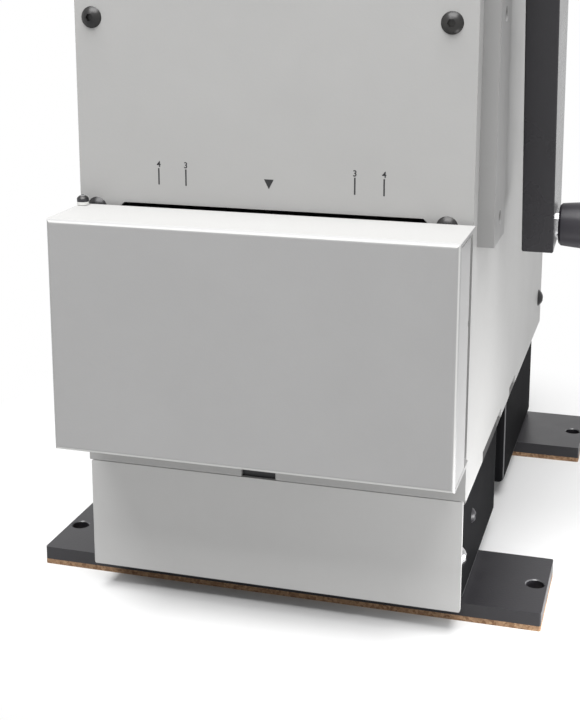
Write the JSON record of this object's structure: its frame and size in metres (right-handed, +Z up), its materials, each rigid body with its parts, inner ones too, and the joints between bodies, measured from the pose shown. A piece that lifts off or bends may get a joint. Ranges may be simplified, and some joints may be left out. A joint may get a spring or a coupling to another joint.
{
  "type": "hard drive crusher",
  "caption": "Hand-cranked bench press that crushes hard drives: a side crank lowers a toothed ram and punch inside a grey cabinet, behind a hinged guard door",
  "frame": {"origin": "on the bench, in the middle of the four bench holes of the feet", "axes": "+X is the crank side, +Y runs from the guard door to the back, +Z is up"},
  "size_m": [0.3309, 0.3444, 0.381],
  "materials": {
    "grey_coat": "fine-textured light grey powder coat",
    "black_coat": "satin black powder coat",
    "cork": "fine-grained cork sheet",
    "black_oxide": "blackened socket screws",
    "chrome": "bright polished",
    "nylon": "plain white",
    "magnet": "black moulded",
    "ground_steel": "ground, lightly oiled",
    "gear_steel": "hardened, dark grey",
    "bronze": "plain sintered bronze",
    "grip_plastic": "satin dark grey"
  },
  "bodies": {
    "cabinet": {"back_stop": "ground_steel", "base_bolts": "black_oxide", "bed_plate": "ground_steel", "cabinet_wrap": "grey_coat", "catch_magnet": "magnet", "cork_pad_front": "cork", "cork_pad_rear": "cork", "crank_bushes": "bronze", "crosshead": "ground_steel", "drive_support": "ground_steel", "floor_plate": "black_coat", "foot_bar_front": "black_coat", "foot_bar_rear": "black_coat", "foot_screws": "black_oxide", "frame_bolts": "black_oxide", "front_panel": "grey_coat", "front_riser": "black_coat", "front_skirt": "grey_coat", "guide_bolts": "black_oxide", "hinge_bracket": "black_coat", "hinge_leaf_screws": "black_oxide", "hinge_pins": "black_oxide", "hinge_washers": "nylon", "output_bushes": "bronze", "panel_screws": "black_oxide", "press_plate_left": "ground_steel", "press_plate_right": "ground_steel", "rail_screws": "black_oxide", "ram_guide": "ground_steel", "rear_cover": "grey_coat", "rear_riser": "black_coat", "riser_side_screws": "black_oxide", "side_rail": "grey_coat", "side_screws": "black_oxide", "skirt_screws": "chrome", "top_tie_bars": "ground_steel"},
    "crank": {"crank_shaft": "ground_steel", "crank_pinion": "gear_steel", "pinion_key": "ground_steel", "shaft_collar": "black_oxide", "collar_screw": "black_oxide", "crank_spacer": "ground_steel", "crank_arm": "black_coat", "arm_key": "ground_steel", "arm_washer": "chrome", "arm_screw": "black_oxide", "grip_bolt": "ground_steel", "grip_washer": "chrome"},
    "grip": {"crank_grip": "grip_plastic"},
    "output": {"pinion_shaft": "ground_steel", "main_gear": "gear_steel", "gear_key": "ground_steel", "gear_set_screw": "black_oxide"},
    "ram_head": {"ram": "ground_steel", "punch": "gear_steel", "punch_screw": "black_oxide"},
    "door": {"door_guard": "grey_coat"}
  },
  "joints": [
    {"name": "crank_turn", "type": "hinge", "parent": "cabinet", "child": "crank", "pos_m": [0, -0.075, 0.322], "axis": [-1, 0, 0], "range_deg": [0, 785.7]},
    {"name": "output_turn", "type": "hinge", "parent": "cabinet", "child": "output", "pos_m": [0, -0.015, 0.277], "axis": [1, 0, 0], "range_deg": [0, 196.5]},
    {"name": "ram_slide", "type": "slide", "parent": "cabinet", "child": "ram_head", "axis": [0, 0, -1], "range_m": [0, 0.06]},
    {"name": "grip_spin", "type": "hinge", "parent": "crank", "child": "grip", "pos_m": [0.1, -0.05379, 0.17108], "axis": [1, 0, 0], "continuous": true},
    {"name": "door_swing", "type": "hinge", "parent": "cabinet", "child": "door", "pos_m": [-0.0849, -0.1564, 0.1363], "axis": [0, 0, -1], "range_deg": [0, 95]}
  ],
  "couplings": [
    {"joint": "output_turn", "follows": "crank_turn", "ratio": 0.25},
    {"joint": "ram_slide", "follows": "crank_turn", "m_per_rad": 0.004375}
  ]
}
